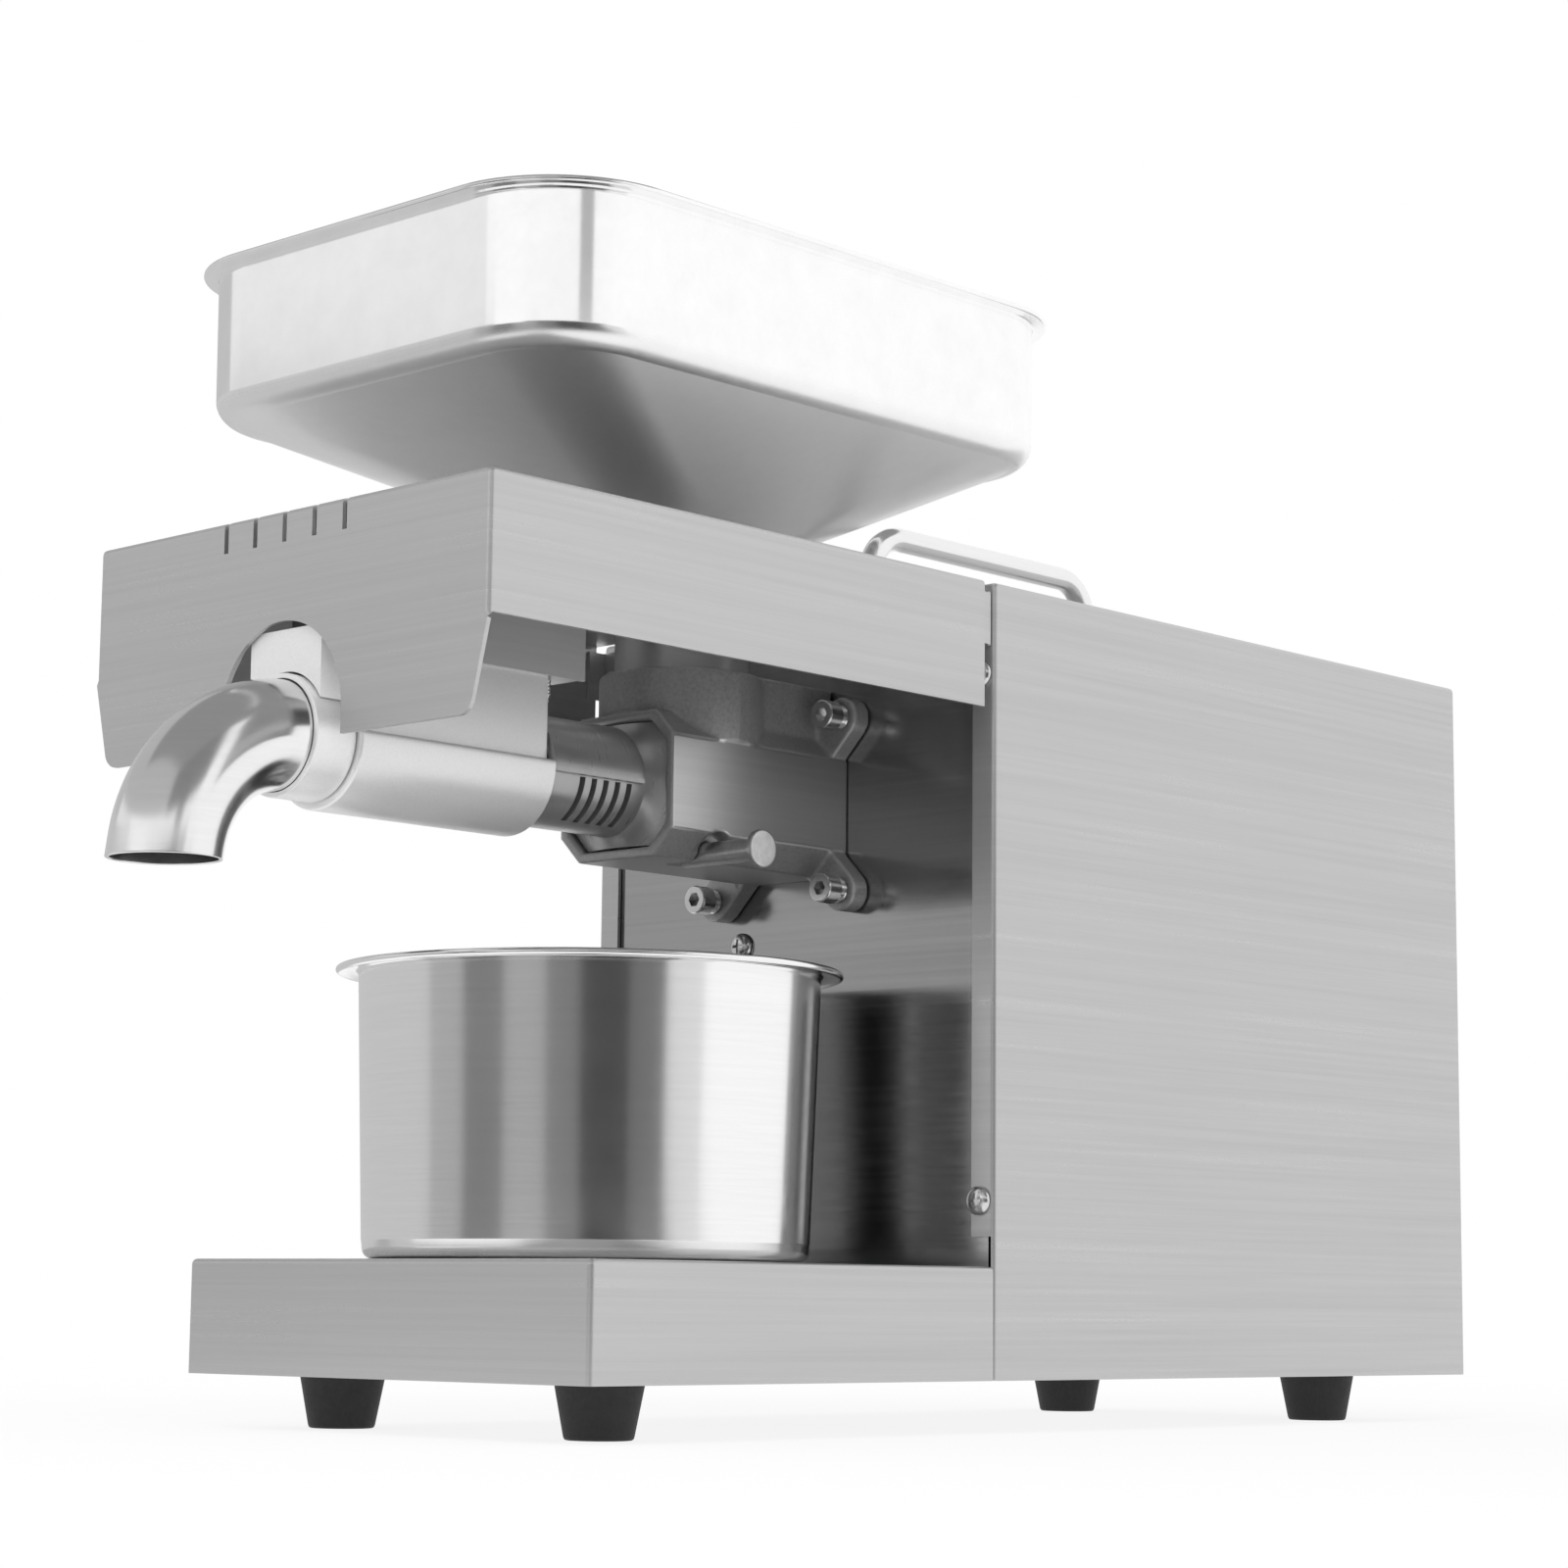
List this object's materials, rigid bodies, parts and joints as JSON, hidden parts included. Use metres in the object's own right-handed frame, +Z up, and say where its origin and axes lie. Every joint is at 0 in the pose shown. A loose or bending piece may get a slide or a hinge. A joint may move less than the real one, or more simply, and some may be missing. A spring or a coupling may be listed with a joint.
{
  "type": "screw oil press",
  "caption": "Kitchen screw press for nuts and seeds: steel case and hood, hopper, heated barrel with slotted cage, outlet elbow and an oil pot.",
  "frame": {"origin": "centre of the overall footprint, on the plane that the feet stand on", "axes": "+Z up, outlet elbow towards -Y, motor case towards +Y, lock pin at +X"},
  "size_m": [0.1728, 0.4966, 0.331],
  "materials": {
    "black_plastic": "matt",
    "black_rubber": "matt",
    "board_green": "circuit board",
    "bright_steel": "machined stainless",
    "brushed_steel": "brushed stainless sheet",
    "cast_aluminium": "as cast",
    "dull_steel": "plain stainless",
    "gear_steel": "machined steel",
    "grey_casting": "grey casting, machined faces",
    "motor_paint": "black paint",
    "panel_steel": "brushed stainless sheet, darker in the hood's shade",
    "polished_steel": "polished stainless",
    "rocker_plastic": "gloss",
    "satin_aluminium": "satin",
    "zinc_plate": "zinc plated"
  },
  "bodies": {
    "press_body": {"base_tray": "brushed_steel", "bottom_plate": "zinc_plate", "canopy": "brushed_steel", "canopy_screw_left": "bright_steel", "canopy_screw_right": "bright_steel", "carry_handle": "polished_steel", "case_screw_high_left": "bright_steel", "case_screw_high_right": "bright_steel", "case_screw_low_left": "bright_steel", "case_screw_low_right": "bright_steel", "chamber_block": "grey_casting", "chamber_bolt_high_left": "bright_steel", "chamber_bolt_high_right": "bright_steel", "chamber_bolt_low_left": "bright_steel", "chamber_bolt_low_right": "bright_steel", "control_board": "board_green", "drive_switch_housing": "black_plastic", "foot_front_left": "black_rubber", "foot_front_right": "black_rubber", "foot_rear_left": "black_rubber", "foot_rear_right": "black_rubber", "foot_screw_front_left": "bright_steel", "foot_screw_front_right": "bright_steel", "foot_screw_rear_left": "bright_steel", "foot_screw_rear_right": "bright_steel", "front_panel": "panel_steel", "gearbox_cover": "cast_aluminium", "gearbox_housing": "cast_aluminium", "handle_front_nut": "bright_steel", "handle_rear_nut": "bright_steel", "heat_switch_housing": "black_plastic", "heater_cartridge": "bright_steel", "heating_jacket": "satin_aluminium", "idler_pin": "bright_steel", "jacket_bracket": "dull_steel", "jacket_screw": "bright_steel", "motor_can": "motor_paint", "motor_case": "brushed_steel", "motor_cradle": "zinc_plate", "nozzle_ring": "satin_aluminium", "output_bearing": "bright_steel", "panel_screw": "bright_steel", "power_inlet": "black_plastic", "press_cage": "grey_casting", "rear_panel": "panel_steel", "run_capacitor": "black_plastic", "temperature_sensor": "bright_steel"},
    "hopper_body": {"hopper": "polished_steel"},
    "elbow_body": {"outlet_elbow": "polished_steel"},
    "pin_body": {"lock_pin": "dull_steel"},
    "pot_body": {"oil_pot": "polished_steel"},
    "screw_body": {"press_screw": "bright_steel", "output_shaft": "bright_steel", "output_gear": "gear_steel"},
    "idler_body": {"idler_gear": "gear_steel"},
    "rotor_body": {"rotor_shaft": "bright_steel", "cooling_fan": "black_plastic"},
    "drive_rocker_body": {"drive_switch_rocker": "rocker_plastic"},
    "heat_rocker_body": {"heat_switch_rocker": "rocker_plastic"}
  },
  "joints": [
    {"name": "hopper_lift", "type": "slide", "parent": "press_body", "child": "hopper_body", "axis": [0, 0, 1], "range_m": [0, 0.12]},
    {"name": "elbow_pull", "type": "slide", "parent": "press_body", "child": "elbow_body", "axis": [0, -1, 0], "range_m": [0, 0.03]},
    {"name": "lock_pin_pull", "type": "slide", "parent": "press_body", "child": "pin_body", "axis": [1, 0, 0], "range_m": [0, 0.035]},
    {"name": "pot_slide", "type": "slide", "parent": "press_body", "child": "pot_body", "axis": [0, -1, 0], "range_m": [0, 0.17]},
    {"name": "screw_spin", "type": "hinge", "parent": "press_body", "child": "screw_body", "pos_m": [0, 0.0021, 0.185], "axis": [0, 1, 0], "continuous": true},
    {"name": "idler_spin", "type": "hinge", "parent": "press_body", "child": "idler_body", "pos_m": [0, 0.0021, 0.137], "axis": [0, 1, 0], "continuous": true},
    {"name": "rotor_spin", "type": "hinge", "parent": "press_body", "child": "rotor_body", "pos_m": [0, 0.0021, 0.0986], "axis": [0, 1, 0], "continuous": true},
    {"name": "drive_rocker_tilt", "type": "hinge", "parent": "press_body", "child": "drive_rocker_body", "pos_m": [0.02, 0.2448, 0.057], "axis": [1, 0, 0], "range_deg": [-10, 10]},
    {"name": "heat_rocker_tilt", "type": "hinge", "parent": "press_body", "child": "heat_rocker_body", "pos_m": [0.05, 0.2448, 0.057], "axis": [1, 0, 0], "range_deg": [0, 20]}
  ],
  "couplings": [
    {"joint": "idler_spin", "follows": "screw_spin", "ratio": -3},
    {"joint": "rotor_spin", "follows": "screw_spin", "ratio": 9}
  ]
}
